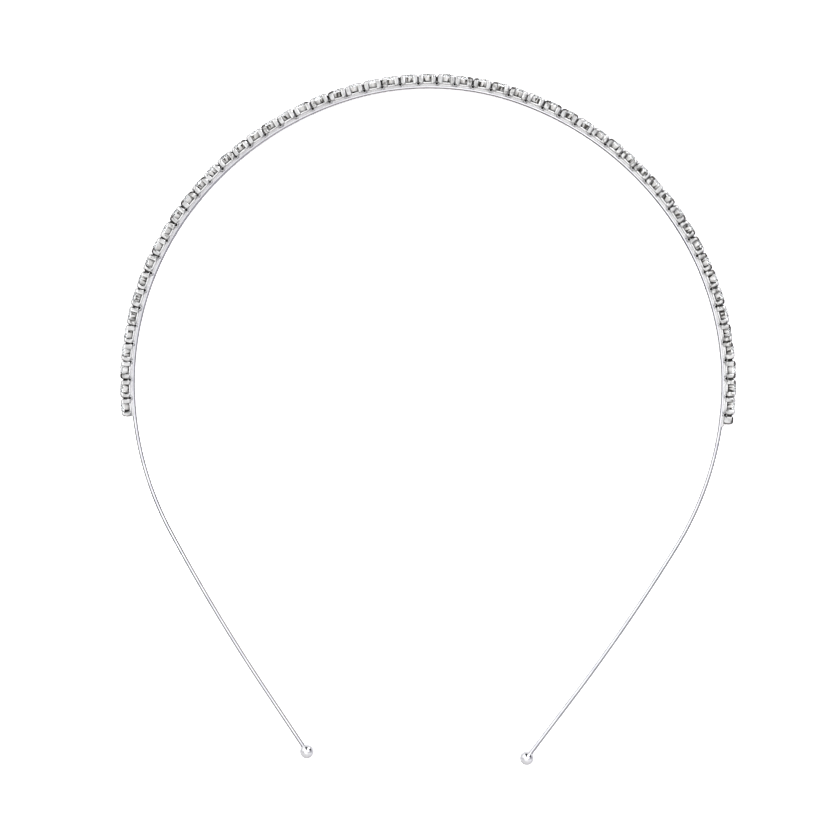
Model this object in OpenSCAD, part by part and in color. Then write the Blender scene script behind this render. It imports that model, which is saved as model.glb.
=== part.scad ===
// Crystal headband, millimetres.
// A sprung steel wire is bent to an arch, with its two legs drawn in towards the ends.
// A row of claw cups is soldered along the outside of the arch, and each cup holds a cut stone.
// A short closed cup without a stone ends the row on the right.
// A small ball covers each end of the wire.
// The band lies flat on its side: the arch's top is at +Y, its right side at +X, and +Z is up.
// The origin is below the middle of the whole band, on the surface that it lies on.

/* [Band wire] */
// Diameter of the wire
wire_d = 0.9; // [0.8:0.05:1]
// Radius of the arch across its top
top_r = 59; // [56:0.5:62]
// Radius of the arch at the shoulders
shoulder_r = 68; // [65:0.5:71]
// Radius of the arch at its widest
side_r = 63; // [60:0.5:66]
// Radius where the arch turns in towards the legs
lower_r = 69; // [66:0.5:72]
// Radius of the slight bow of the legs
leg_r = 420; // [380:10:460]
// Straight length of each leg, from the bow to the middle of the ball
leg_straight = 16.1; // [14:0.1:20]

/* [Ball tips] */
// Diameter of the balls
ball_d = 3; // [2.6:0.1:3.4]

/* [Row of cups] */
// Number of cups with a stone
cup_count = 55; // [49:1:57]
// Distance from one cup to the next along the wire
cup_pitch = 3.925; // [3.85:0.025:4]
// Distance that the row of stones sits off centre, towards the left leg
row_shift = 2.1; // [0:0.1:3]
// Length of a cup along the row
cup_length = 3.7; // [3.65:0.01:3.72]
// Width of a cup across the row
cup_width = 3.6; // [3.6:0.05:3.7]
// Width of the window between two claws
window_w = 1.7; // [1.5:0.05:1.8]
// Length of the closed cup at the right end of the row
end_length = 1.9; // [1.6:0.1:2.4]

/* [Stones] */
// Diameter of a stone at its girdle
stone_d = 3.1; // [3:0.05:3.1]
// Height from the girdle up to the table
crown_h = 0.62; // [0.54:0.02:0.66]
// Height from the girdle down to the point
point_h = 1.25; // [1.15:0.05:1.3]

/* [Hidden] */
$fn = 48;

// Sides of a round arc of the wire, for a whole turn
PATH_SIDES = 360;

// Clear gap between pieces that hold each other
fit_gap = 0.05;

// Arcs of one half of the wire, from the middle of the top down to the straight of the leg
ARC_R = 0;
ARC_TURN = 1;
ARCS = [
    [top_r, 18],
    [shoulder_r, 38],
    [side_r, 39],
    [lower_r, 25],
    [leg_r, 5.5]
];

// The arcs meet at hairline joints, each bridged by a short core inside the wire
hairline = 0.01;
core_d = wire_d - 0.1;
core_length = 0.24;

// Heights above the wire's centreline of a cup, its window and its stone
cup_base = wire_d / 2 + fit_gap;
cup_floor = cup_base + 0.25;
window_base = cup_base + 0.5;
girdle_low = cup_floor + fit_gap + point_h;
girdle_high = girdle_low + 0.12;
table_high = girdle_high + crown_h;

// Radii of the cup about the stone's axis
cup_foot_r = 1.55;
cup_corner_r = 2.15;
bowl_r = stone_d / 2 + fit_gap;
bowl_foot_r = bowl_r - 0.3;

// The claws bend over the stone's crown
claw_gap = 0.07;
claw_bend_r = 1.95;
claw_bend_high = girdle_high + 0.17;
claw_end_r = 1.4;
claw_high = girdle_high + 0.9 * crown_h;

// The stone's table, and the slope of its crown from there to the girdle
table_r = 0.27 * stone_d;
crown_slope = crown_h / (stone_d / 2 - table_r);
claw_lift = claw_gap * sqrt(1 + crown_slope * crown_slope);

// The star points lie on the flat main facets, so their height follows from their radius
FACETS = 8;
star_r = (stone_d / 2 + table_r) / 2 - 0.04;
star_high = table_high - crown_slope * (star_r * cos(180 / FACETS) - table_r);

// The bevels of the closed end cup
end_high = table_high - 0.1;
end_bevel = 0.45;

// A pad of solder under each cup, and the link from each cup to the next
pad_length = 3.3;
end_pad_length = 1.5;
pad_width = 0.6;
pad_high = cup_base + 0.1;
link_length = 1.2;
link_width = 1;
link_low = cup_base + 0.03;
link_high = cup_floor - 0.04;

// The bore of a ball, which takes the wire's end
bore_d = wire_d + 2 * fit_gap;
bore_past_centre = 0.35;

// Lengths, headings and points along one half of the wire, with heading 0 towards +X
function arc_length(i) = ARCS[i][ARC_R] * ARCS[i][ARC_TURN] * PI / 180;
function start_length(i) = i == 0 ? 0 : start_length(i - 1) + arc_length(i - 1);
function start_heading(i) = i == 0 ? 0 : start_heading(i - 1) + ARCS[i - 1][ARC_TURN];
function heading_along(i, along) = start_heading(i) + along / ARCS[i][ARC_R] * 180 / PI;
function ahead(heading) = [cos(heading), -sin(heading), 0];
function outward(heading) = [sin(heading), cos(heading), 0];
function start_point(i) = i == 0 ? [0, 0, 0] : arc_point(i - 1, arc_length(i - 1));
function arc_centre(i) = start_point(i) - ARCS[i][ARC_R] * outward(start_heading(i));
function arc_point(i, along) = arc_centre(i) + ARCS[i][ARC_R] * outward(heading_along(i, along));
function arc_at(s, i = 0) = i == len(ARCS) - 1 || s < start_length(i + 1) ? i : arc_at(s, i + 1);
function point_at(s) = let (i = arc_at(s)) arc_point(i, s - start_length(i));
function heading_at(s) = let (i = arc_at(s)) heading_along(i, s - start_length(i));

last = len(ARCS) - 1;
leg_heading = heading_along(last, arc_length(last));
leg_start = arc_point(last, arc_length(last));
ball_centre = leg_start + leg_straight * ahead(leg_heading);

// The band's height is centred on the origin
bottom_y = ball_centre[1] - ball_d / 2;
apex_y = -(table_high + bottom_y) / 2;
wire_z = cup_width / 2;

// Place of a cup, measured along the wire from the middle of the top
function cup_place(k) = (k - (cup_count - 1) / 2) * cup_pitch - row_shift;
end_place = cup_place(cup_count - 0.5) + (cup_pitch - cup_length + end_length) / 2;

// Puts its children on the wire's plane, with the middle of the top at the origin
module in_band() {
    translate([0, apex_y, wire_z]) children();
}

// Puts its children at a place along the wire: X along it, Y outwards, Z across the band
module at_wire(s) {
    p = point_at(abs(s));
    translate([sign(s) * p[0], p[1], 0]) rotate([0, 0, -sign(s) * heading_at(abs(s))]) children();
}

// Puts its children at a point of the right leg's straight, with Z along the leg
module on_leg(point) {
    translate(point) rotate([0, 90, -leg_heading]) children();
}

// The core inside the wire at a change of radius
module core(point, heading) {
    translate(point)
        rotate([0, 90, -heading])
            translate([0, 0, -core_length / 2])
                cylinder(d = core_d, h = core_length);
}

// The wire along one arc, between two lengths measured from the arc's own start
module wire_arc(i, from, to) {
    r = ARCS[i][ARC_R];
    translate(arc_centre(i))
        rotate([0, 0, 90 - heading_along(i, to)])
            rotate_extrude(angle = (to - from) / r * 180 / PI, $fn = PATH_SIDES)
                translate([r, 0]) circle(d = wire_d, $fn = 48);
}

// The wire across the top, between the first change of radius on either side
module top_wire() {
    reach = arc_length(0) - hairline;
    wire_arc(0, -reach, reach);
}

// The rest of the right half of the wire, down to its end inside the ball
module side_wire() {
    for (i = [1 : last]) {
        core(start_point(i), start_heading(i));
        wire_arc(i, hairline, arc_length(i) - hairline);
    }
    core(leg_start, leg_heading);
    on_leg(leg_start + hairline * ahead(leg_heading))
        cylinder(d = wire_d, h = leg_straight + bore_past_centre - fit_gap - hairline);
}

// The cup's outside, as a shape turned about the stone's axis
module cup_outside() {
    rotate_extrude() polygon([
        [0, cup_base],
        [cup_foot_r, cup_base],
        [cup_corner_r, window_base],
        [cup_corner_r, girdle_low],
        [claw_bend_r, claw_bend_high],
        [claw_end_r, claw_high],
        [0, claw_high]
    ]);
}

// Height at which a claw's inner face passes over the stone's crown, at a radius from its axis
function over_crown(r) = girdle_high + (stone_d / 2 - r) * crown_slope + claw_lift;

// The space for the stone, turned about the same axis
module cup_inside() {
    rotate_extrude() polygon([
        [0, cup_floor],
        [bowl_foot_r, cup_floor],
        [bowl_r, window_base],
        [bowl_r, over_crown(bowl_r)],
        [table_r, over_crown(table_r)],
        [0, over_crown(table_r)]
    ]);
}

// A claw cup, open above and on its four sides, with Y along the stone's axis
module cup() {
    window_h = 2 * table_high;
    rotate([-90, 0, 0]) difference() {
        intersection() {
            cup_outside();
            translate([-cup_length / 2, -cup_width / 2, 0]) cube([cup_length, cup_width, table_high]);
        }
        cup_inside();
        translate([-window_w / 2, -cup_width, window_base]) cube([window_w, 2 * cup_width, window_h]);
        translate([-cup_length, -window_w / 2, window_base]) cube([2 * cup_length, window_w, window_h]);
    }
}

// A solid shape of the row with its two outer edges bevelled, from its length or width
module bevelled(wide) {
    polygon([
        [-wide / 2, cup_base],
        [wide / 2, cup_base],
        [wide / 2, end_high - end_bevel],
        [wide / 2 - end_bevel, end_high],
        [end_bevel - wide / 2, end_high],
        [-wide / 2, end_high - end_bevel]
    ]);
}

// The closed cup at the right end of the row
module end_cup() {
    intersection() {
        translate([0, 0, -cup_width / 2]) linear_extrude(cup_width) bevelled(end_length);
        rotate([0, 90, 0]) translate([0, 0, -end_length / 2]) linear_extrude(end_length) bevelled(cup_width);
    }
}

// The solder that fills the seam between the wire and a cup
module solder_pad(long) {
    translate([-long / 2, 0, -pad_width / 2]) cube([long, pad_high, pad_width]);
}

// The strip that joins the bases of two cups
module link() {
    translate([-link_length / 2, link_low, -link_width / 2])
        cube([link_length, link_high - link_low, link_width]);
}

module soldered_band() {
    color("gainsboro") in_band() {
        top_wire();
        side_wire();
        mirror([1, 0, 0]) side_wire();
        for (k = [0 : cup_count - 1])
            at_wire(cup_place(k)) {
                cup();
                solder_pad(pad_length);
            }
        at_wire(end_place) {
            end_cup();
            solder_pad(end_pad_length);
        }
        for (k = [0 : cup_count - 1])
            at_wire(cup_place(k + 0.5)) link();
    }
}

// Points of a level ring of a stone, about its axis along Y
function ring(n, r, high, turn = 0) =
    [for (i = [0 : n - 1]) let (a = turn + i * 360 / n) [r * cos(a), high, r * sin(a)]];

// A cut stone: an eight-sided table, star, main and girdle facets below it, and a pointed back
module stone() {
    girdle_sides = 2 * FACETS;
    stars = FACETS;
    upper = stars + FACETS;
    lower = upper + girdle_sides;
    tip = lower + girdle_sides;
    polyhedron(
        points = concat(
            ring(FACETS, table_r, table_high),
            ring(FACETS, star_r, star_high, 180 / FACETS),
            ring(girdle_sides, stone_d / 2, girdle_high),
            ring(girdle_sides, stone_d / 2, girdle_low),
            [[0, girdle_low - point_h, 0]]
        ),
        faces = concat(
            [[for (i = [0 : FACETS - 1]) i]],
            [for (i = [0 : FACETS - 1]) [i, stars + i, (i + 1) % FACETS]],
            [for (i = [0 : FACETS - 1])
                [i, stars + (i + FACETS - 1) % FACETS, upper + 2 * i, stars + i]],
            [for (i = [0 : FACETS - 1]) [stars + i, upper + 2 * i, upper + 2 * i + 1]],
            [for (i = [0 : FACETS - 1])
                [stars + i, upper + 2 * i + 1, upper + (2 * i + 2) % girdle_sides]],
            [for (i = [0 : girdle_sides - 1]) let (next = (i + 1) % girdle_sides)
                [upper + i, lower + i, lower + next, upper + next]],
            [for (i = [0 : girdle_sides - 1]) [lower + i, tip, lower + (i + 1) % girdle_sides]]
        )
    );
}

module crystals() {
    color("whitesmoke") in_band()
        for (k = [0 : cup_count - 1])
            at_wire(cup_place(k)) stone();
}

// The right leg's ball, with a blind bore for the wire's end
module ball_tip() {
    in_band() on_leg(ball_centre)
        difference() {
            sphere(d = ball_d);
            translate([0, 0, -ball_d]) cylinder(d = bore_d, h = ball_d + bore_past_centre);
        }
}

module ball_tip_left() {
    color("silver") mirror([1, 0, 0]) ball_tip();
}

module ball_tip_right() {
    color("silver") ball_tip();
}

soldered_band();
crystals();
ball_tip_left();
ball_tip_right();
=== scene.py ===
import math
import random

import bpy
from mathutils import Matrix, Vector


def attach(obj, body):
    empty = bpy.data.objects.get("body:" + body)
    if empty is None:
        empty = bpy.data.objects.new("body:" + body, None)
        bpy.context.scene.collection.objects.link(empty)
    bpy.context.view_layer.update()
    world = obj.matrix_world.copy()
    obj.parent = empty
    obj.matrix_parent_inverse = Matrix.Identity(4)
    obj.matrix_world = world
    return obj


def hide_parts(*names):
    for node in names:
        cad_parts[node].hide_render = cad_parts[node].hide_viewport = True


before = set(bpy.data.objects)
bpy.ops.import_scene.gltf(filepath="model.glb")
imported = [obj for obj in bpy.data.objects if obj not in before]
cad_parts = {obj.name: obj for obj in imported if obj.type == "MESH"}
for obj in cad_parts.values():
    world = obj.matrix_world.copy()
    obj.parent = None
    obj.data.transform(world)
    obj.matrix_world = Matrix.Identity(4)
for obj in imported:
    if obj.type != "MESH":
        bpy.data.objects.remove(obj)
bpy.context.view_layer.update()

# The looks of the crystal headband. The shapes' lengths are in millimetres, and MM turns them
# into metres where a mesh is made. The light and the textures are in metres.
MM = 0.001
chance = random.Random(56)

# The wire: one half is five arcs (radius, turn in degrees) and the straight of the leg
WIRE_RADIUS = 0.45
WIRE_ARCS = ((59, 18), (68, 38), (63, 39), (69, 25), (420, 5.5))
LEG_STRAIGHT = 16.1
WIRE_INTO_BALL = 0.3
TOP_OF_ARCH = 72.227
WIRE_HIGH = 1.8

# The row of cups, measured along the wire from the middle of the arch
CUP_COUNT = 55
CUP_PITCH = 3.925
CUP_LENGTH = 3.7
ROW_SHIFT = 2.1
END_LENGTH = 1.9

# The stones: heights are above the wire's centreline
STONE_SIDES = 16
TABLE_SIDES = 8
STONE_RADIUS = 1.55
TABLE_RADIUS = 0.837
GIRDLE_LOW = 2.05
GIRDLE_HIGH = 2.17
TABLE_HIGH = 2.79
BELLY_HIGH = 1.14
BELLY_RADIUS = 1.10
POINT_LOW = 0.8

BALL_RADIUS = 1.5
BORE_RADIUS = 0.5

ARC_LENGTH = sum(radius * math.radians(turn) for radius, turn in WIRE_ARCS)
HALF_LENGTH = ARC_LENGTH + LEG_STRAIGHT


def along_half(s):
    """Place and heading at a length along the right half of the wire."""
    x = 0.0
    y = 0.0
    heading = 0.0
    left = s
    for radius, turn in WIRE_ARCS:
        step = min(left, radius * math.radians(turn))
        x -= radius * math.sin(heading)
        y -= radius * math.cos(heading)
        heading += step / radius
        x += radius * math.sin(heading)
        y += radius * math.cos(heading)
        left -= step
        if left <= 0:
            return x, y, heading
    return x + left * math.cos(heading), y - left * math.sin(heading), heading


def place_on_wire(s):
    """A frame on the wire: X along it, Y outwards and Z across the band."""
    x, y, heading = along_half(abs(s))
    side = math.copysign(1.0, s)
    heading *= side
    return Matrix((
        (math.cos(heading), math.sin(heading), 0, side * x),
        (-math.sin(heading), math.cos(heading), 0, y + TOP_OF_ARCH),
        (0, 0, 1, WIRE_HIGH),
        (0, 0, 0, 1),
    ))


def cup_place(k):
    """The length along the wire at which a cup stands."""
    return (k - (CUP_COUNT - 1) / 2) * CUP_PITCH - ROW_SHIFT


END_PLACE = cup_place(CUP_COUNT - 0.5) + (CUP_PITCH - CUP_LENGTH + END_LENGTH) / 2


def make_piece(name, shape, materials, smooth=True):
    """A mesh object from its points, its faces and, in some pieces, each face's material number."""
    points, faces, *finishes = shape
    mesh = bpy.data.meshes.new(name)
    mesh.from_pydata([Vector(p) * MM for p in points], [], faces)
    for material in materials:
        mesh.materials.append(material)
    for numbers in finishes:
        mesh.polygons.foreach_set("material_index", numbers)
    mesh.polygons.foreach_set("use_smooth", [smooth] * len(mesh.polygons))
    mesh.validate()
    piece = bpy.data.objects.new(name, mesh)
    bpy.context.scene.collection.objects.link(piece)
    return piece


def add_rings(points, faces, rings):
    """Skins a closed tube over rings that all have the same number of points."""
    first = len(points)
    sides = len(rings[0])
    for ring in rings:
        points.extend(ring)
    for k in range(len(rings) - 1):
        for i in range(sides):
            j = (i + 1) % sides
            low = first + k * sides
            high = low + sides
            faces.append((low + i, low + j, high + j, high + i))
    last = first + (len(rings) - 1) * sides
    faces.append(tuple(first + i for i in reversed(range(sides))))
    faces.append(tuple(last + i for i in range(sides)))


def skinned(rings):
    """The points and faces of one closed tube over rings."""
    points = []
    faces = []
    add_rings(points, faces, rings)
    return points, faces


def round_ring(place, radius, along, sides, sense):
    """A ring about the wire's line, with its points in one sense or the other (1 or -1)."""
    ring = []
    for i in range(sides):
        angle = sense * 2 * math.pi * i / sides
        ring.append(place @ Vector((along, radius * math.cos(angle), radius * math.sin(angle))))
    return ring


def round_wire():
    """The bent wire, from inside one ball to inside the other."""
    sides = 32
    count = 560
    reach = HALF_LENGTH + WIRE_INTO_BALL
    rings = []
    for k in range(count + 1):
        place = place_on_wire(-reach + 2 * reach * k / count)
        rings.append(round_ring(place, WIRE_RADIUS, 0, sides, -1))
    return skinned(rings)


# One claw, from inside the bowl up and over the stone's crown: its height, the distance of its
# outer face from the stone's axis, the radius of its folded corner, its edge at the window, its
# thickness, and how steeply its top slopes up towards the stone
CLAW_ROWS = (
    (0.57, 1.86, 0.90, 0.90, 0.22, 0.00),
    (0.63, 1.91, 0.76, 0.88, 0.28, 0.00),
    (0.76, 1.93, 0.54, 0.86, 0.32, 0.00),
    (0.94, 1.94, 0.36, 0.86, 0.34, 0.00),
    (1.62, 1.94, 0.34, 0.86, 0.34, 0.00),
    (1.82, 1.92, 0.34, 0.86, 0.35, 0.02),
    (2.02, 1.91, 0.38, 0.86, 0.36, 0.08),
    (2.20, 1.89, 0.44, 0.86, 0.40, 0.16),
    (2.35, 1.86, 0.52, 0.86, 0.46, 0.24),
    (2.48, 1.80, 0.58, 0.86, 0.52, 0.30),
    (2.58, 1.71, 0.60, 0.87, 0.54, 0.36),
    (2.65, 1.58, 0.52, 0.90, 0.46, 0.42),
    (2.68, 1.44, 0.38, 0.94, 0.34, 0.44),
)

# The rows of faces round a claw's tip and over it, each with its own finish: mostly the paler base
# plating, as painted light that lifts their dark outline, and on some tips painted shade all round
CLAW_TIP_ROWS = 3
CLAW_TOP_ROWS = 2

# How a claw strays by chance towards its top: how far it leans in, how far it leans aside, how far
# it droops, and its twist in degrees
CLAW_PRESS = (-0.08, 0.07)
CLAW_DRIFT = (-0.12, 0.12)
CLAW_DROOP = (-0.12, 0.05)
CLAW_TWIST = 3.5

# A claw's side is painted dark, as painted shade, when more than this share of its facing is along
# the band
ALONG_BAND = 0.9

# How much wider the lower claws stand along the band for each millimetre of height
LOWER_SPREAD = 0.012

# The cup's bowl, from its middle underneath, round the rim and back inside:
# half its width, its corner's distance from the axis, and the height
BOWL_PROFILE = (
    (0.02, 0.02, 0.50),
    (1.10, 1.10, 0.50),
    (1.52, 1.58, 0.50),
    (1.68, 1.80, 0.52),
    (1.76, 1.92, 0.57),
    (1.80, 2.00, 0.64),
    (1.81, 2.03, 0.74),
    (1.80, 2.03, 0.82),
    (1.74, 1.97, 0.87),
    (1.64, 1.86, 0.85),
    (1.48, 1.60, 0.80),
    (1.20, 1.24, 0.775),
    (0.02, 0.02, 0.76),
)
BOWL_SIDES = 32
BOWL_RIM_ROW = 8
CUP_NARROWING = 0.91
CUP_WIDTH = 3.6

# The finishes of a cup's metal. The second is near-black painted shade for sides, insides and
# hollows where shade falls, and the fourth, the paler base plating, also serves as painted light on
# claws
BRIGHT = 0
PAINTED_SHADE = 1
WORN = 2
BASE = 3


def bowl_ring(half, corner, high):
    """A ring of the bowl: half is its distance at its four sides, and corner at its corners."""
    ring = []
    for i in range(BOWL_SIDES):
        angle = 2 * math.pi * i / BOWL_SIDES
        toward_corner = math.sin(2 * angle) ** 2
        distance = half / max(abs(math.cos(angle)), abs(math.sin(angle)))
        distance = min(distance, half + (corner - half) * toward_corner ** 0.7)
        ring.append(Vector((distance * math.cos(angle), high, -distance * math.sin(angle))))
    return ring


def laid(place, point):
    """A point of a cup where it lies, pressed in where it would stand past the width of the row."""
    p = place @ point
    p.z = min(max(p.z, 0.0), CUP_WIDTH)
    return p


def add_cup(points, faces, finishes, place, wear_and_shade_share):
    """One claw cup: a shallow square bowl with a claw at each corner."""
    rings = [[laid(place, p) for p in bowl_ring(*row)] for row in BOWL_PROFILE]
    add_rings(points, faces, rings)
    # The bowl's inside above its rim row, and its inner cap, are painted shade
    for row in range(len(rings) - 1):
        finishes.extend([BASE if row < BOWL_RIM_ROW else PAINTED_SHADE] * BOWL_SIDES)
    finishes.extend((BASE, PAINTED_SHADE))
    for quarter in range(4):
        add_claw(points, faces, finishes, place, quarter, wear_and_shade_share)


def arc(centre_x, centre_z, radius, degrees):
    """Points of an arc across the stone's axis, each with the degrees of the way that it faces."""
    points = []
    for facing in degrees:
        angle = math.radians(facing)
        x = centre_x + radius * math.cos(angle)
        z = centre_z + radius * math.sin(angle)
        points.append((x, z, facing))
    return points


def claw_outline(half, corner, window, thick):
    """Cross-section of a claw, folded round the cup's corner: first its outer side."""
    edge = min(0.11, thick * 0.4)
    inner = half - thick
    inner_corner = max(corner - thick, 0.06)
    outline = arc(window + edge, half - edge, edge, (175, 140, 110))
    outline += arc(half - corner, half - corner, corner, (90, 76, 61, 45, 29, 14, 0))
    outline += arc(half - edge, window + edge, edge, (-20, -50, -85))
    outline.append((inner, window + 0.02, None))
    fold = arc(inner - inner_corner, inner - inner_corner, inner_corner, (0, 45, 90))
    outline += [(x, z, None) for x, z, _ in fold]
    outline.append((window + 0.02, inner, None))
    return outline


def claw_shades(outline, turn, finish):
    """The finish of each side of a claw, with painted shade where it faces along the band."""
    shades = []
    for corner, next_corner in zip(outline, outline[1:] + outline[:1]):
        # Its inside sides: painted shade on a dulled claw, and the paler base plating as painted
        # light on the others
        if corner[2] is None or next_corner[2] is None:
            shades.append(PAINTED_SHADE if finish == WORN else BASE)
            continue
        angle = math.radians((corner[2] + next_corner[2]) / 2)
        facing = turn @ Vector((math.cos(angle), 0, math.sin(angle)))
        shades.append(PAINTED_SHADE if abs(facing.x) > ALONG_BAND else finish)
    return shades


def add_claw(points, faces, finishes, place, quarter, wear_and_shade_share):
    """A claw that rises out of the bowl's corner and bends over the stone."""
    turn = Matrix.Rotation(-math.pi / 2 * quarter, 3, "Y")
    press = chance.uniform(*CLAW_PRESS)
    drift = chance.uniform(*CLAW_DRIFT)
    droop = chance.uniform(*CLAW_DROOP)
    twist = Matrix.Rotation(small_turn(CLAW_TWIST), 3, "Y")
    # Dulled plating by chance, more often further along the row, where it darkens the row as
    # painted shade
    finish = WORN if chance.random() < wear_and_shade_share else BRIGHT
    rings = []
    for row, (high, half, corner, window, thick, slope) in enumerate(CLAW_ROWS):
        share = (row / (len(CLAW_ROWS) - 1)) ** 2
        outline = claw_outline(half, corner, window, thick)
        middle = half - thick / 2
        ring = []
        for x, z, _ in outline:
            rise = slope * (2 * middle - x - z) * 0.5 + droop * share
            point = Vector((x - (press - drift) * share, high + rise, z - (press + drift) * share))
            point = turn @ (twist @ point)
            if point.z < 0 and row > 0:
                point.x *= 1 + LOWER_SPREAD * high
            ring.append(laid(place, point))
        rings.append(ring)
    add_rings(points, faces, rings)
    shades = claw_shades(outline, turn, finish)
    # The tip rows: paler base plating as painted light, dulled on the sides along the band; some
    # tips, more further along the row, are painted shade all round
    tip_shades = [WORN if shade == PAINTED_SHADE else BASE for shade in shades]
    if chance.random() < wear_and_shade_share:
        tip_shades = [PAINTED_SHADE] * len(shades)
    finishes.extend(shades * (len(rings) - 1 - CLAW_TIP_ROWS - CLAW_TOP_ROWS))
    finishes.extend(tip_shades * CLAW_TIP_ROWS)
    finishes.extend([BASE] * len(shades) * CLAW_TOP_ROWS)
    finishes.extend((finish, finish))


def small_turn(spread):
    """A turn by chance of up to a spread in degrees, either way."""
    return math.radians(chance.uniform(-spread, spread))


# How far a cup strays by chance: its turns about X, Y and Z in degrees, and its shifts along the
# wire and outwards. A stone tilts in its cup by a few degrees more.
CUP_TURNS = (2.2, 1.8, 2.5)
CUP_SHIFTS = (0.05, 0.04)
STONE_TILT = 2.5


def settled_place(s):
    """A cup's place on the wire, with the small tilts of hand soldering."""
    about_x, about_y, about_z = [small_turn(spread) for spread in CUP_TURNS]
    tilt = Matrix.Rotation(about_x, 4, "X") @ Matrix.Rotation(about_y, 4, "Y")
    lean = Matrix.Rotation(about_z, 4, "Z")
    along, outwards = [chance.uniform(-spread, spread) for spread in CUP_SHIFTS]
    shift = Matrix.Translation((along, outwards, 0))
    return place_on_wire(s) @ shift @ tilt @ lean


cup_frames = [settled_place(cup_place(k)) for k in range(CUP_COUNT)]


def wear_and_shade_here(k):
    """Share of dulled metal and dark foil in a cup, rising along the row as painted shade: the row
    is brightest at its left end.
    """
    return 0.1 + 0.4 * k / (CUP_COUNT - 1)


def claw_cups():
    """All the open cups in one shape."""
    points = []
    faces = []
    finishes = []
    narrowing = Matrix.Diagonal((1, 1, CUP_NARROWING, 1))
    for k, cup_frame in enumerate(cup_frames):
        add_cup(points, faces, finishes, cup_frame @ narrowing, wear_and_shade_here(k))
    return points, faces, finishes


# The closed cup at the right end: its heights, and how full it is there
END_ROWS = (
    (0.50, 0.05),
    (0.50, 0.80),
    (0.56, 0.92),
    (0.72, 0.99),
    (1.20, 1.00),
    (2.00, 0.99),
    (2.24, 0.96),
    (2.42, 0.88),
    (2.55, 0.76),
    (2.63, 0.60),
    (2.67, 0.40),
    (2.68, 0.05),
)
END_HALF_WIDE = 1.68

# The seam where its claws meet, and the heights between which its left side is painted dark as
# painted shade
SEAM_DEEP = 0.10
SEAM_HALF_WIDE = 0.16
SEAM_LOW = 1.1
SHADE_LOW = 2.2
SHADE_HIGH = 2.6


def squared(share):
    """A cosine or a sine, pushed out so that a circle becomes a square with round corners."""
    return math.copysign(abs(share) ** 0.42, share)


def closed_end_cup():
    """The short cup at the right end of the row, with its claws pressed shut."""
    sides = 40
    rings = []
    finishes = []
    place = settled_place(END_PLACE)
    for high, full in END_ROWS:
        pinch = 1 if full > 0.1 else 0.1
        seam_deep = SEAM_DEEP if high > SEAM_LOW else 0
        ring = []
        for i in range(sides):
            angle = 2 * math.pi * i / sides
            x = squared(math.cos(angle))
            z = -squared(math.sin(angle))
            seam = seam_deep * math.exp(-((z / SEAM_HALF_WIDE) ** 2))
            along = x * (END_LENGTH / 2 - seam) * full
            across = z * END_HALF_WIDE * (0.35 + 0.65 * full) * pinch
            ring.append(laid(place, Vector((along, high, across))))
            # Painted shade on the left of its crown and on its ends along the band
            crown = SHADE_LOW < high < SHADE_HIGH and x < 0.5
            finishes.append(PAINTED_SHADE if crown or abs(x) > 0.97 else BRIGHT)
        rings.append(ring)
    return (*skinned(rings), finishes[:-sides] + [BRIGHT, BRIGHT])


def ring_points(sides, radius, high, turn=0.0):
    """A ring about a stone's axis."""
    return [
        Vector((
            radius * math.cos(turn + 2 * math.pi * i / sides),
            high,
            -radius * math.sin(turn + 2 * math.pi * i / sides),
        ))
        for i in range(sides)
    ]


def turned_stones():
    """Each stone's place: turned about its axis by chance, and not quite straight in its cup."""
    places = []
    for cup_frame in cup_frames:
        about = Matrix.Rotation(chance.uniform(0, 2 * math.pi / TABLE_SIDES), 4, "Y")
        tip = Matrix.Rotation(small_turn(STONE_TILT), 4, "X")
        tip = tip @ Matrix.Rotation(small_turn(STONE_TILT), 4, "Z")
        middle = Matrix.Translation((0, GIRDLE_LOW, 0))
        places.append(cup_frame @ middle @ tip @ about @ middle.inverted())
    return places


stone_frames = turned_stones()


def cut_stones():
    """Round stones with a table, star, main and girdle facets, and a pointed back."""
    points = []
    faces = []
    slope = (TABLE_HIGH - GIRDLE_HIGH) / (STONE_RADIUS - TABLE_RADIUS)
    star_radius = (STONE_RADIUS + TABLE_RADIUS) / 2 - 0.04
    star_high = TABLE_HIGH - slope * (star_radius * math.cos(math.pi / TABLE_SIDES) - TABLE_RADIUS)
    for place in stone_frames:
        first = len(points)
        shape = ring_points(TABLE_SIDES, TABLE_RADIUS, TABLE_HIGH)
        shape += ring_points(TABLE_SIDES, star_radius, star_high, math.pi / TABLE_SIDES)
        shape += ring_points(STONE_SIDES, STONE_RADIUS, GIRDLE_HIGH)
        shape += ring_points(STONE_SIDES, STONE_RADIUS, GIRDLE_LOW)
        shape += ring_points(STONE_SIDES, BELLY_RADIUS, BELLY_HIGH, math.pi / STONE_SIDES)
        shape.append(Vector((0, POINT_LOW, 0)))
        points.extend(place @ p for p in shape)
        star = first + TABLE_SIDES
        upper = star + TABLE_SIDES
        lower = upper + STONE_SIDES
        belly = lower + STONE_SIDES
        tip = belly + STONE_SIDES
        faces.append(tuple(first + i for i in range(TABLE_SIDES)))
        for i in range(TABLE_SIDES):
            before = (i - 1) % TABLE_SIDES
            after = (i + 1) % TABLE_SIDES
            girdle = upper + 2 * i
            faces.append((first + i, star + i, first + after))
            faces.append((first + i, star + before, girdle, star + i))
            faces.append((star + i, girdle, girdle + 1))
            faces.append((star + i, girdle + 1, upper + 2 * after))
        for i in range(STONE_SIDES):
            after = (i + 1) % STONE_SIDES
            faces.append((upper + i, lower + i, lower + after, upper + after))
            faces.append((lower + i, belly + i, lower + after))
            faces.append((lower + after, belly + i, belly + after))
            faces.append((belly + i, tip, belly + after))
    return points, faces


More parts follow.
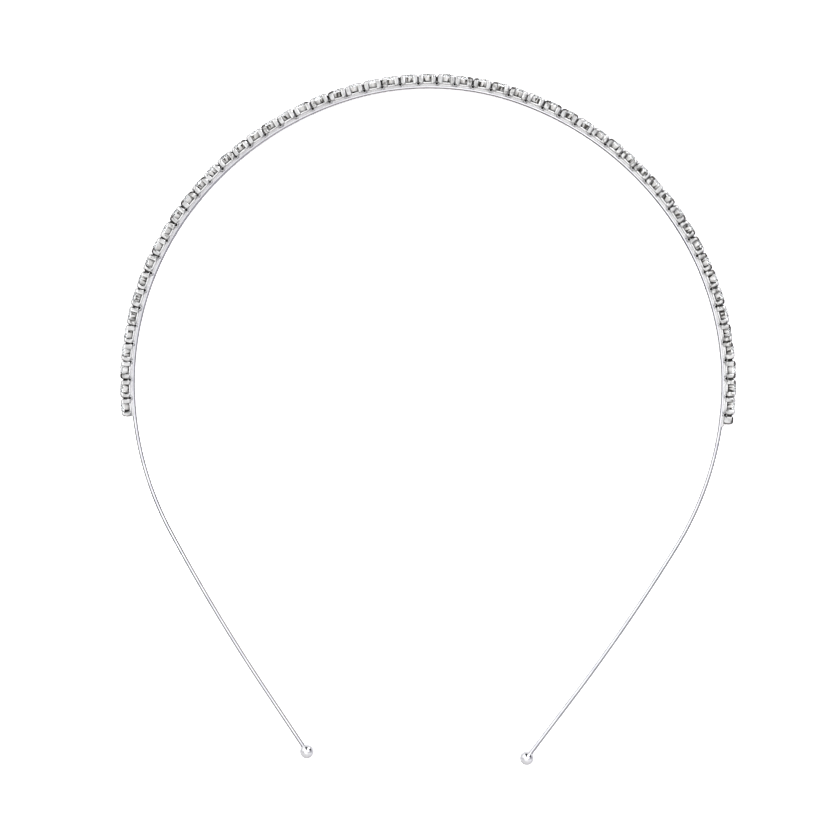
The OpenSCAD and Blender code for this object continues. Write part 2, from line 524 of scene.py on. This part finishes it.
# The foil's finishes: its mirror towards the stone, and the lacquer on the outside of a facet. Its
# pale and dark tones are painted light and painted shade, for the bright and dark reflections in
# the stones.
MIRROR = 0
PLAIN_LACQUER = 1
PALE_PAINTED_LIGHT = 2
DARK_PAINTED_SHADE = 3

# How far the foil's two sides are from the stone
FOIL_LAYERS = (0.008, 0.043)


def lacquer_tones(k):
    """Three tones by chance: plain lacquer, pale painted light and dark painted shade, with more of
    the dark one further along the row.
    """
    tones = (PLAIN_LACQUER, PALE_PAINTED_LIGHT, DARK_PAINTED_SHADE)
    worn = wear_and_shade_here(k)
    return chance.choices(tones, (2.4, 2.6 - 2.0 * worn, 0.3 + 3.2 * worn), k=3)


def silvered_backs():
    """The foil on each stone's back: a mirror towards the stone, and lacquer on the outside, with
    painted light and shade in its tones.
    """
    points = []
    faces = []
    finishes = []
    half_side = math.pi / STONE_SIDES
    for k, place in enumerate(stone_frames):
        inside = len(points)
        shape = []
        for away in FOIL_LAYERS:
            belly = BELLY_RADIUS + away * 0.9
            shape += ring_points(STONE_SIDES, STONE_RADIUS - 0.02 + away * 0.3, GIRDLE_LOW - 0.03)
            shape += ring_points(STONE_SIDES, belly, BELLY_HIGH - away * 0.9, half_side)
            shape.append(Vector((0, POINT_LOW - away * 1.2, 0)))
        points.extend(place @ p for p in shape)
        inner_belly = inside + STONE_SIDES
        inner_tip = inner_belly + STONE_SIDES
        outside = inner_tip + 1
        outer_belly = outside + STONE_SIDES
        outer_tip = outer_belly + STONE_SIDES
        for i in range(STONE_SIDES):
            after = (i + 1) % STONE_SIDES
            faces.append((inside + i, inside + after, inner_belly + i))
            faces.append((inside + after, inner_belly + after, inner_belly + i))
            faces.append((inner_belly + i, inner_belly + after, inner_tip))
            faces.append((outside + i, outer_belly + i, outside + after))
            faces.append((outside + after, outer_belly + i, outer_belly + after))
            faces.append((outer_belly + i, outer_tip, outer_belly + after))
            faces.append((inside + i, outside + i, outside + after, inside + after))
            finishes.extend((MIRROR, MIRROR, MIRROR, *lacquer_tones(k), PLAIN_LACQUER))
    return points, faces, finishes


# A link between two cups, turned about its own axis across the band: its radius, and how far from
# the middle
LINK_PROFILE = (
    (0.02, 0.80),
    (0.25, 0.82),
    (0.27, 1.10),
    (0.27, 1.32),
    (0.29, 1.42),
    (0.34, 1.46),
    (0.40, 1.42),
    (0.43, 1.29),
    (0.43, 0.60),
    (0.41, 0.00),
)
# The rows round the hole at each end of a link, painted black as painted shade
LINK_PAINTED_SHADE_ROWS = 4

# A link's height, and how far by chance it is shifted along the row and raised
LINK_HIGH = 0.62
LINK_SHIFT = (-0.04, 0.04)
LINK_RISE = (-0.04, 0.05)


def chain_links():
    """The rounded link between the bases of two cups, with a small hole in each end that is painted
    black as painted shade.
    """
    points = []
    faces = []
    finishes = []
    sides = 20
    profile = list(LINK_PROFILE) + [(radius, -far) for radius, far in reversed(LINK_PROFILE[:-1])]
    for k in range(CUP_COUNT):
        place = place_on_wire(cup_place(k + 0.5) + chance.uniform(*LINK_SHIFT))
        high = LINK_HIGH + chance.uniform(*LINK_RISE)
        rings = []
        for radius, far in profile:
            ring = []
            for i in range(sides):
                angle = 2 * math.pi * i / sides
                up = high + radius * math.cos(angle)
                ring.append(place @ Vector((radius * math.sin(angle), up, far)))
            rings.append(ring)
        add_rings(points, faces, rings)
        # The rows round each end's hole are painted black as painted shade
        for row in range(len(rings) - 1):
            dark = min(row, len(rings) - 2 - row) < LINK_PAINTED_SHADE_ROWS
            finishes.extend([PAINTED_SHADE if dark else BRIGHT] * sides)
        finishes.extend((PAINTED_SHADE, PAINTED_SHADE))
    return points, faces, finishes


# The webs of painted shade: black sheets put into the slits between cups, where there is only
# shade. Their lower and upper edges, how far the upper one strays by chance, the steps that they
# are built in, and half their width. The row's bend opens the slits towards the crystals.
WEB_LOW = 0.95
WEB_TOP = 2.12
WEB_STRAY = (-0.15, 0.12)
WEB_STEPS = 8
WEB_HALF_WIDE = 1.25
ROW_BEND = 60


def claw_half(high):
    """Distance of a claw's outer face from the stone's axis, at a height."""
    for low, above in zip(CLAW_ROWS, CLAW_ROWS[1:]):
        if high <= above[0]:
            share = (high - low[0]) / (above[0] - low[0])
            return low[1] + (above[1] - low[1]) * max(share, 0)
    return CLAW_ROWS[-1][1]


def painted_shade_webs():
    """A black sheet that fills the slit between two cups: painted shade, put where there is only
    shade.
    """
    points = []
    faces = []
    for k in range(CUP_COUNT):
        place = place_on_wire(cup_place(k + 0.5))
        top = WEB_TOP + chance.uniform(*WEB_STRAY)
        rings = []
        for step in range(WEB_STEPS + 1):
            high = WEB_LOW + (top - WEB_LOW) * step / WEB_STEPS
            half = CUP_PITCH / 2 * (1 + high / ROW_BEND) - claw_half(high) + 0.02
            wide = WEB_HALF_WIDE * (1 - 0.25 * (step / WEB_STEPS) ** 4)
            ring = [Vector((half, high, -wide)), Vector((-half, high, -wide))]
            ring += [Vector((-half, high, wide)), Vector((half, high, wide))]
            rings.append([place @ p for p in ring])
        add_rings(points, faces, rings)
    return points, faces


# The solder under a cup: how far by chance its middle is from the cup's, half its length, half its
# width, and how that width waves
SOLDER_SHIFT = (-0.1, 0.1)
SOLDER_HALF_LONG = (1.55, 1.85)
SOLDER_HALF_WIDE = 0.62
SOLDER_WAVE = (0.82, 1.12)


def add_solder(points, faces, s, half_long, spread, lift=0.0):
    """A bead of solder between the wire and whatever stands on it at that place."""
    stations = 13
    rings = []
    wave = [chance.uniform(*SOLDER_WAVE) for _ in range(stations)]
    for k in range(stations):
        share = -1 + 2 * k / (stations - 1)
        full = math.sqrt(max(0.02, 1 - share ** 6))
        wide = spread * full * wave[k]
        hug = 0.40 + 0.10 * full * wave[k]
        high = 0.44 + 0.16 * full + lift * full
        place = place_on_wire(s + half_long * share)
        ring = [
            Vector((0, -0.02, -hug)),
            Vector((0, 0.26, -hug - 0.03 * full)),
            Vector((0, 0.48, -wide)),
            Vector((0, high, -wide * 0.92)),
            Vector((0, high, wide * 0.92)),
            Vector((0, 0.48, wide)),
            Vector((0, 0.26, hug + 0.03 * full)),
            Vector((0, -0.02, hug)),
        ]
        rings.append([place @ p for p in ring])
    add_rings(points, faces, rings)


def solder_seam():
    """A bead under each cup, a higher one under the closed end cup, and a drop at the left end."""
    points = []
    faces = []
    for k in range(CUP_COUNT):
        s = cup_place(k) + chance.uniform(*SOLDER_SHIFT)
        add_solder(points, faces, s, chance.uniform(*SOLDER_HALF_LONG), SOLDER_HALF_WIDE)
    add_solder(points, faces, END_PLACE + 0.45, 1.25, 0.70, 0.14)
    add_solder(points, faces, cup_place(0) - 1.6, 0.5, 0.55)
    return points, faces


def end_ball(side):
    """A ball turned about the leg's line, with a small rounded mouth where the wire goes in."""
    place = place_on_wire(side * HALF_LENGTH)
    sides = 72
    mouth = math.asin((BORE_RADIUS + 0.03) / BALL_RADIUS)
    profile = [(0.02, 0.3), (BORE_RADIUS - 0.03, 0.3), (BORE_RADIUS - 0.01, 0.7)]
    mouth_far = BALL_RADIUS * math.cos(mouth)
    profile += [(BORE_RADIUS - 0.01, mouth_far - 0.06), (BORE_RADIUS + 0.005, mouth_far - 0.02)]
    steps = 44
    for k in range(steps):
        angle = mouth + (math.pi - mouth - 0.015) * k / (steps - 1)
        profile.append((BALL_RADIUS * math.sin(angle), BALL_RADIUS * math.cos(angle)))
    rings = [round_ring(place, radius, -side * back, sides, side) for radius, back in profile]
    return skinned(rings)


# Materials

def feed(tree, value, socket):
    """Sets a socket to a number or a colour, or links an output to it."""
    if isinstance(value, (int, float)):
        socket.default_value = value
    elif isinstance(value, tuple):
        socket.default_value = (*value, 1)
    else:
        tree.links.new(value, socket)


def range_node(tree, value, low, high, smooth=True):
    """A value as a share of the way from low to high."""
    node = tree.nodes.new("ShaderNodeMapRange")
    node.interpolation_type = "SMOOTHSTEP" if smooth else "LINEAR"
    feed(tree, low, node.inputs["From Min"])
    feed(tree, high, node.inputs["From Max"])
    feed(tree, value, node.inputs["Value"])
    return node.outputs["Result"]


def maths(tree, operation, *values):
    """One sum with one or two values."""
    node = tree.nodes.new("ShaderNodeMath")
    node.operation = operation
    for value, socket in zip(values, node.inputs):
        feed(tree, value, socket)
    return node.outputs[0]


def mixed(tree, share, a, b, blend="MIX"):
    """Two colours blended by a share."""
    node = tree.nodes.new("ShaderNodeMix")
    node.data_type = "RGBA"
    node.blend_type = blend
    feed(tree, share, node.inputs["Factor"])
    feed(tree, a, node.inputs[6])
    feed(tree, b, node.inputs[7])
    return node.outputs[2]


def plating_wear_group():
    """Fine cloudiness, rub marks and ripples, as a roughness, a colour and a height."""
    group = bpy.data.node_groups.new("plating_wear", "ShaderNodeTree")
    face = group.interface
    for name, kind, value in (
        ("Bright", "NodeSocketColor", (0.8, 0.8, 0.83, 1)),
        ("Dull", "NodeSocketColor", (0.6, 0.6, 0.62, 1)),
        ("Smooth", "NodeSocketFloat", 0.08),
        ("Rough", "NodeSocketFloat", 0.3),
        ("Grain", "NodeSocketFloat", 3000.0),
    ):
        socket = face.new_socket(name=name, in_out="INPUT", socket_type=kind)
        socket.default_value = value
    face.new_socket(name="Colour", in_out="OUTPUT", socket_type="NodeSocketColor")
    face.new_socket(name="Roughness", in_out="OUTPUT", socket_type="NodeSocketFloat")
    face.new_socket(name="Height", in_out="OUTPUT", socket_type="NodeSocketFloat")
    enter = group.nodes.new("NodeGroupInput")
    leave = group.nodes.new("NodeGroupOutput")
    place = group.nodes.new("ShaderNodeTexCoord")
    grain = enter.outputs["Grain"]
    cloud = group.nodes.new("ShaderNodeTexNoise")
    fine = group.nodes.new("ShaderNodeTexNoise")
    cloud_scale = maths(group, "MULTIPLY", grain, 0.22)
    for noise, scale, detail in ((cloud, cloud_scale, 3.0), (fine, grain, 2.0)):
        feed(group, scale, noise.inputs["Scale"])
        feed(group, detail, noise.inputs["Detail"])
        feed(group, place.outputs["Object"], noise.inputs["Vector"])
    worn = range_node(group, cloud.outputs["Fac"], 0.42, 0.68, False)
    colour = mixed(group, worn, enter.outputs["Bright"], enter.outputs["Dull"])
    roughness = group.nodes.new("ShaderNodeMix")
    roughness.data_type = "FLOAT"
    feed(group, worn, roughness.inputs["Factor"])
    feed(group, enter.outputs["Smooth"], roughness.inputs[2])
    feed(group, enter.outputs["Rough"], roughness.inputs[3])
    feed(group, colour, leave.inputs["Colour"])
    feed(group, roughness.outputs[0], leave.inputs["Roughness"])
    height = maths(group, "ADD", cloud.outputs["Fac"], fine.outputs["Fac"])
    feed(group, height, leave.inputs["Height"])
    return group


WEAR = plating_wear_group()


def new_finish(name):
    material = bpy.data.materials.new(name)
    material.use_nodes = True
    tree = material.node_tree
    return material, tree, tree.nodes["Principled BSDF"]


def wear_node(tree, **values):
    """The shared wear group in a material, with the named inputs set."""
    node = tree.nodes.new("ShaderNodeGroup")
    node.node_tree = WEAR
    for name, value in values.items():
        feed(tree, value, node.inputs[name])
    return node


def plated(name, bright, dull, smooth, rough, grain, relief, metal):
    """Plated metal or lacquer, with its own cloudiness and ripples."""
    material, tree, shader = new_finish(name)
    wear = wear_node(tree, Bright=bright, Dull=dull, Smooth=smooth, Rough=rough, Grain=grain)
    bump = tree.nodes.new("ShaderNodeBump")
    feed(tree, 1.0, bump.inputs["Strength"])
    feed(tree, relief * MICROMETRE, bump.inputs["Distance"])
    feed(tree, wear.outputs["Height"], bump.inputs["Height"])
    feed(tree, metal, shader.inputs["Metallic"])
    feed(tree, wear.outputs["Colour"], shader.inputs["Base Color"])
    feed(tree, wear.outputs["Roughness"], shader.inputs["Roughness"])
    feed(tree, bump.outputs["Normal"], shader.inputs["Normal"])
    return material


def clear_crystal():
    """Clear cut glass, with the faintest cloud of polish left on it."""
    material, tree, shader = new_finish("clear_crystal")
    feed(tree, (0.97, 0.98, 0.985), shader.inputs["Base Color"])
    feed(tree, 1.0, shader.inputs["Transmission Weight"])
    feed(tree, 1.58, shader.inputs["IOR"])
    wear = wear_node(tree, Smooth=0.0, Rough=0.03, Grain=2500.0)
    feed(tree, wear.outputs["Roughness"], shader.inputs["Roughness"])
    return material


def paint_pale_outer_side(material):
    """Paints a ball pale on its outer half and round its middle by making it less metallic there, a
    painted reflection, and leaves the rest bright.
    """
    tree = material.node_tree
    place = tree.nodes.new("ShaderNodeTexCoord")
    parts = tree.nodes.new("ShaderNodeSeparateXYZ")
    feed(tree, place.outputs["Generated"], parts.inputs[0])
    off_middle = maths(tree, "ABSOLUTE", maths(tree, "SUBTRACT", parts.outputs["Z"], 0.5))
    bright_side = range_node(tree, off_middle, 0.26, 0.36)
    bright_half = range_node(tree, parts.outputs["Y"], 0.40, 0.52)
    bright = maths(tree, "MULTIPLY", bright_side, bright_half)
    metal = maths(tree, "ADD", maths(tree, "MULTIPLY", bright, 0.85), 0.12)
    feed(tree, metal, tree.nodes["Principled BSDF"].inputs["Metallic"])


MICROMETRE = 0.000001

# Each finish: its colours where it is bright and where it is dull, its roughness at both, the scale
# of its grain, the depth of its ripples in micrometres, and how metallic it is
FINISHES = {
    "wire_plating": ((0.72, 0.72, 0.75), (0.62, 0.62, 0.66), 0.03, 0.09, 2600.0, 0.6, 1.0),
    "base_plating": ((0.92, 0.92, 0.925), (0.82, 0.82, 0.825), 0.08, 0.24, 3600.0, 4.0, 0.45),
    "cup_plating": ((0.57, 0.57, 0.575), (0.40, 0.40, 0.40), 0.07, 0.24, 3600.0, 3.0, 1.0),
    "solder_metal": ((0.94, 0.94, 0.95), (0.84, 0.84, 0.85), 0.14, 0.40, 4200.0, 20.0, 0.25),
    "worn_plating": ((0.62, 0.62, 0.62), (0.16, 0.155, 0.15), 0.10, 0.30, 8000.0, 8.0, 1.0),
    # Painted shade: near-black plating for faces where shade falls
    "painted_shade_plating": ((0.15, 0.14, 0.135), (0.05, 0.045, 0.04), 0.22, 0.45, 3600.0, 3.0, 1.0),
    "ball_polish": ((0.97, 0.97, 1.0), (0.94, 0.94, 0.98), 0.02, 0.05, 1500.0, 0.5, 1.0),
    # Painted shade: black for the slits between cups and the links' holes
    "painted_shade_black": ((0.03, 0.027, 0.025), (0.015, 0.014, 0.013), 0.5, 0.8, 3600.0, 10.0, 0.0),
    "foil_mirror": ((0.96, 0.96, 0.96), (0.90, 0.90, 0.90), 0.02, 0.08, 2500.0, 1.0, 1.0),
    "foil_lacquer": ((0.92, 0.915, 0.90), (0.74, 0.73, 0.71), 0.10, 0.24, 3000.0, 6.0, 0.1),
    # Painted light and painted shade: pale and dark foil tones for the stones' bright and dark
    # reflections
    "foil_pale_painted_light": ((0.99, 0.99, 0.99), (0.96, 0.96, 0.96), 0.10, 0.24, 3000.0, 6.0, 0.1),
    "foil_dark_painted_shade": ((0.13, 0.125, 0.115), (0.05, 0.048, 0.045), 0.10, 0.24, 3000.0, 6.0, 0.1),
}
ALL_FINISHES = {name: plated(name, *values) for name, values in FINISHES.items()}
# A painted pale reflection on the balls
paint_pale_outer_side(ALL_FINISHES["ball_polish"])
crystal = clear_crystal()


# The pieces

def chosen(*names):
    return [ALL_FINISHES[name] for name in names]


def settle(piece, slot, *nodes):
    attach(piece, "root")
    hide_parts(*nodes)


def rounded(piece):
    """Rounds a cage once, as molten metal is rounded."""
    smooth = piece.modifiers.new("rounded", "SUBSURF")
    smooth.levels = 1
    smooth.render_levels = 1
    return piece


wire_piece = make_piece("sprung_wire", round_wire(), chosen("wire_plating"))
settle(wire_piece, "plated_metal", "soldered_band")

cup_metals = chosen("cup_plating", "painted_shade_plating", "worn_plating", "base_plating")
cups_piece = make_piece("claw_cups", claw_cups(), cup_metals)
settle(cups_piece, "plated_metal", "soldered_band")

end_piece = make_piece("closed_end_cup", closed_end_cup(), chosen("cup_plating", "painted_shade_plating"))
settle(end_piece, "plated_metal", "soldered_band")

stones_piece = make_piece("cut_stones", cut_stones(), [crystal], False)
settle(stones_piece, "crystal", "crystals")

foils = chosen("foil_mirror", "foil_lacquer", "foil_pale_painted_light", "foil_dark_painted_shade")
backs_piece = make_piece("silvered_backs", silvered_backs(), foils, False)
settle(backs_piece, "crystal", "crystals")

links_piece = make_piece("chain_links", chain_links(), chosen("base_plating", "painted_shade_black"))
settle(links_piece, "plated_metal", "soldered_band")

# Black sheets of painted shade in the slits between the cups
shade_webs_piece = make_piece("painted_shade_webs", painted_shade_webs(), chosen("painted_shade_black"), False)
settle(shade_webs_piece, "plated_metal", "soldered_band")

solder_piece = rounded(make_piece("solder_beads", solder_seam(), chosen("solder_metal")))
settle(solder_piece, "plated_metal", "soldered_band")

left_ball = make_piece("end_ball_left", end_ball(-1), chosen("ball_polish"))
settle(left_ball, "ball_metal", "ball_tip_left")

right_ball = make_piece("end_ball_right", end_ball(1), chosen("ball_polish"))
settle(right_ball, "ball_metal", "ball_tip_right")


# The stage: floor, sky, light and camera

FLOOR_HALF = 4000.0
FLOOR_DROP = 0.05


def pale_floor():
    """White paper under the band, which is darker where metal mirrors it, as shaded paper is."""
    paper, tree, shader = new_finish("floor_paper")
    feed(tree, (0.38, 0.38, 0.39), shader.inputs["Base Color"])
    feed(tree, 0.9, shader.inputs["Roughness"])
    white = tree.nodes.new("ShaderNodeBsdfDiffuse")
    feed(tree, (2.4, 2.4, 2.4), white.inputs["Color"])
    seen = tree.nodes.new("ShaderNodeLightPath")
    by_camera = seen.outputs["Is Camera Ray"]
    plain_view = maths(tree, "MAXIMUM", by_camera, seen.outputs["Is Transmission Ray"])
    choose = tree.nodes.new("ShaderNodeMixShader")
    feed(tree, plain_view, choose.inputs[0])
    feed(tree, shader.outputs[0], choose.inputs[1])
    feed(tree, white.outputs[0], choose.inputs[2])
    feed(tree, choose.outputs[0], tree.nodes["Material Output"].inputs["Surface"])
    ways = ((-1, -1), (1, -1), (1, 1), (-1, 1))
    corners = [(FLOOR_HALF * x, FLOOR_HALF * y, -FLOOR_DROP) for x, y in ways]
    return make_piece("studio_floor", (corners, [(0, 1, 2, 3)]), [paper], False)


# The six walls of the light tent, which are seen in the metal and the glass: the way to each one
# in degrees from +X, its tint, and its brightness from the horizon (0) to overhead (1).
# Brightness is a share of SKY_STRENGTH, and nothing is tinted above TINT_TOP.
SKY_STRENGTH = 2.9
WARM = (1.0, 0.90, 0.82)
PLAIN = (1.0, 1.0, 1.0)
COOL = (0.98, 0.97, 1.05)
TINT_TOP = 0.8
OVERHEAD = (0.95, 0.48)
SKY_WALLS = (
    (-30, COOL, (
        (0.0, 0.26), (0.40, 0.30), (0.48, 0.20), (0.58, 0.01), (0.93, 0.01), (0.96, 0.48),
    )),
    (30, COOL, (
        (0.0, 0.03), (0.08, 0.02), (0.52, 0.02), (0.62, 0.38), (0.74, 0.42), (0.84, 0.9), OVERHEAD,
    )),
    (90, PLAIN, (
        (0.0, 0.50), (0.16, 0.46), (0.26, 0.10), (0.36, 0.10), (0.44, 0.55), (0.58, 0.55),
        (0.66, 0.40), (0.76, 0.40), (0.86, 0.9), OVERHEAD,
    )),
    (150, PLAIN, ((0.0, 0.46), (0.74, 0.46), (0.86, 0.9), OVERHEAD)),
    (210, PLAIN, ((0.0, 0.04), (0.20, 0.01), (0.70, 0.01), (0.78, 0.3), (0.87, 0.9), OVERHEAD)),
    (270, WARM, (
        (0.0, 0.34), (0.08, 0.24), (0.16, 0.03), (0.50, 0.04), (0.64, 0.36), (0.80, 0.7), OVERHEAD,
    )),
)
WALL_SPREAD = 60

# Two dark stands in front of the walls: the way to each, its half width in degrees and its top
DARK_STANDS = ((100, 18, 0.96), (38, 12, 0.62))
STAND_COLOUR = (0.01, 0.01, 0.01)


def wall_colour(tree, high, tint, stops):
    """The colour of one wall of the tent by height."""
    node = tree.nodes.new("ShaderNodeValToRGB")
    bar = node.color_ramp
    while len(bar.elements) < len(stops):
        bar.elements.new(0.5)
    for element, (at, share) in zip(bar.elements, stops):
        tinted = tint if at < TINT_TOP else PLAIN
        element.position = at
        element.color = (*(min(share * part, 1.0) for part in tinted), 1)
    feed(tree, high, node.inputs["Fac"])
    return node.outputs["Color"]


def turned_from(tree, x, y, flat, way):
    """The angle between the heading of a ray and a way, which is in degrees from +X."""
    angle = math.radians(way)
    ahead = maths(tree, "MULTIPLY", x, math.cos(angle))
    ahead = maths(tree, "ADD", ahead, maths(tree, "MULTIPLY", y, math.sin(angle)))
    ahead = maths(tree, "MINIMUM", maths(tree, "DIVIDE", ahead, flat), 1.0)
    return maths(tree, "ARCCOSINE", ahead)


def studio_sky():
    """A light tent for mirrors and glass: its walls blend into each other and into white above.

    Seen straight by the camera, it is plain white.
    """
    world = bpy.data.worlds.new("studio_sky")
    bpy.context.scene.world = world
    world.use_nodes = True
    tree = world.node_tree
    place = tree.nodes.new("ShaderNodeTexCoord")
    parts = tree.nodes.new("ShaderNodeSeparateXYZ")
    feed(tree, place.outputs["Generated"], parts.inputs[0])
    x, y, z = parts.outputs
    flat = maths(tree, "ADD", maths(tree, "MULTIPLY", x, x), maths(tree, "MULTIPLY", y, y))
    flat = maths(tree, "MAXIMUM", maths(tree, "SQRT", flat), 0.001)
    sky = (0.0, 0.0, 0.0)
    for way, tint, stops in SKY_WALLS:
        away = turned_from(tree, x, y, flat, way)
        share = range_node(tree, away, math.radians(WALL_SPREAD), 0, False)
        wall = mixed(tree, share, (0, 0, 0), wall_colour(tree, z, tint, stops))
        sky = mixed(tree, 1.0, sky, wall, "ADD")
    for way, half_wide, top in DARK_STANDS:
        half = math.radians(half_wide)
        across = range_node(tree, turned_from(tree, x, y, flat, way), half, half * 0.7)
        below = range_node(tree, z, top, top - 0.03)
        sky = mixed(tree, maths(tree, "MULTIPLY", across, below), sky, STAND_COLOUR)
    seen = tree.nodes.new("ShaderNodeLightPath")
    sky = mixed(tree, seen.outputs["Is Camera Ray"], sky, PLAIN)
    background = tree.nodes["Background"]
    feed(tree, SKY_STRENGTH, background.inputs["Strength"])
    feed(tree, sky, background.inputs["Color"])


def softbox():
    """A small soft light, low behind the right of the arch."""
    light = bpy.data.lights.new("softbox", "AREA")
    light.shape = "RECTANGLE"
    light.size = 0.22
    light.size_y = 0.34
    light.energy = 3.0
    lamp = bpy.data.objects.new("softbox", light)
    bpy.context.scene.collection.objects.link(lamp)
    lamp.location = (0.55, 0.85, 0.42)
    lamp.rotation_euler = (-Vector(lamp.location)).to_track_quat("-Z", "Y").to_euler()
    lamp.visible_camera = False


def camera_above():
    """Straight above the band, turned as the band lies, and framed for a square picture."""
    sensor = 36.0
    picture_width = 183.12
    picture_middle = (-1.53, -0.532)
    picture_turn = 1.75
    away = 1000.0
    camera = bpy.data.cameras.new("camera")
    camera.sensor_width = sensor
    camera.lens = sensor * away / picture_width
    camera.clip_start = 0.05
    camera.clip_end = 20.0
    stand = bpy.data.objects.new("camera", camera)
    bpy.context.scene.collection.objects.link(stand)
    stand.location = Vector((*picture_middle, WIRE_HIGH + away)) * MM
    stand.rotation_euler = (0, 0, math.radians(picture_turn))
    bpy.context.scene.camera = stand


pale_floor()
studio_sky()
softbox()
camera_above()

view = bpy.context.scene.view_settings
view.view_transform = "Standard"
view.look = "None"
bpy.context.scene.cycles.glossy_bounces = 8
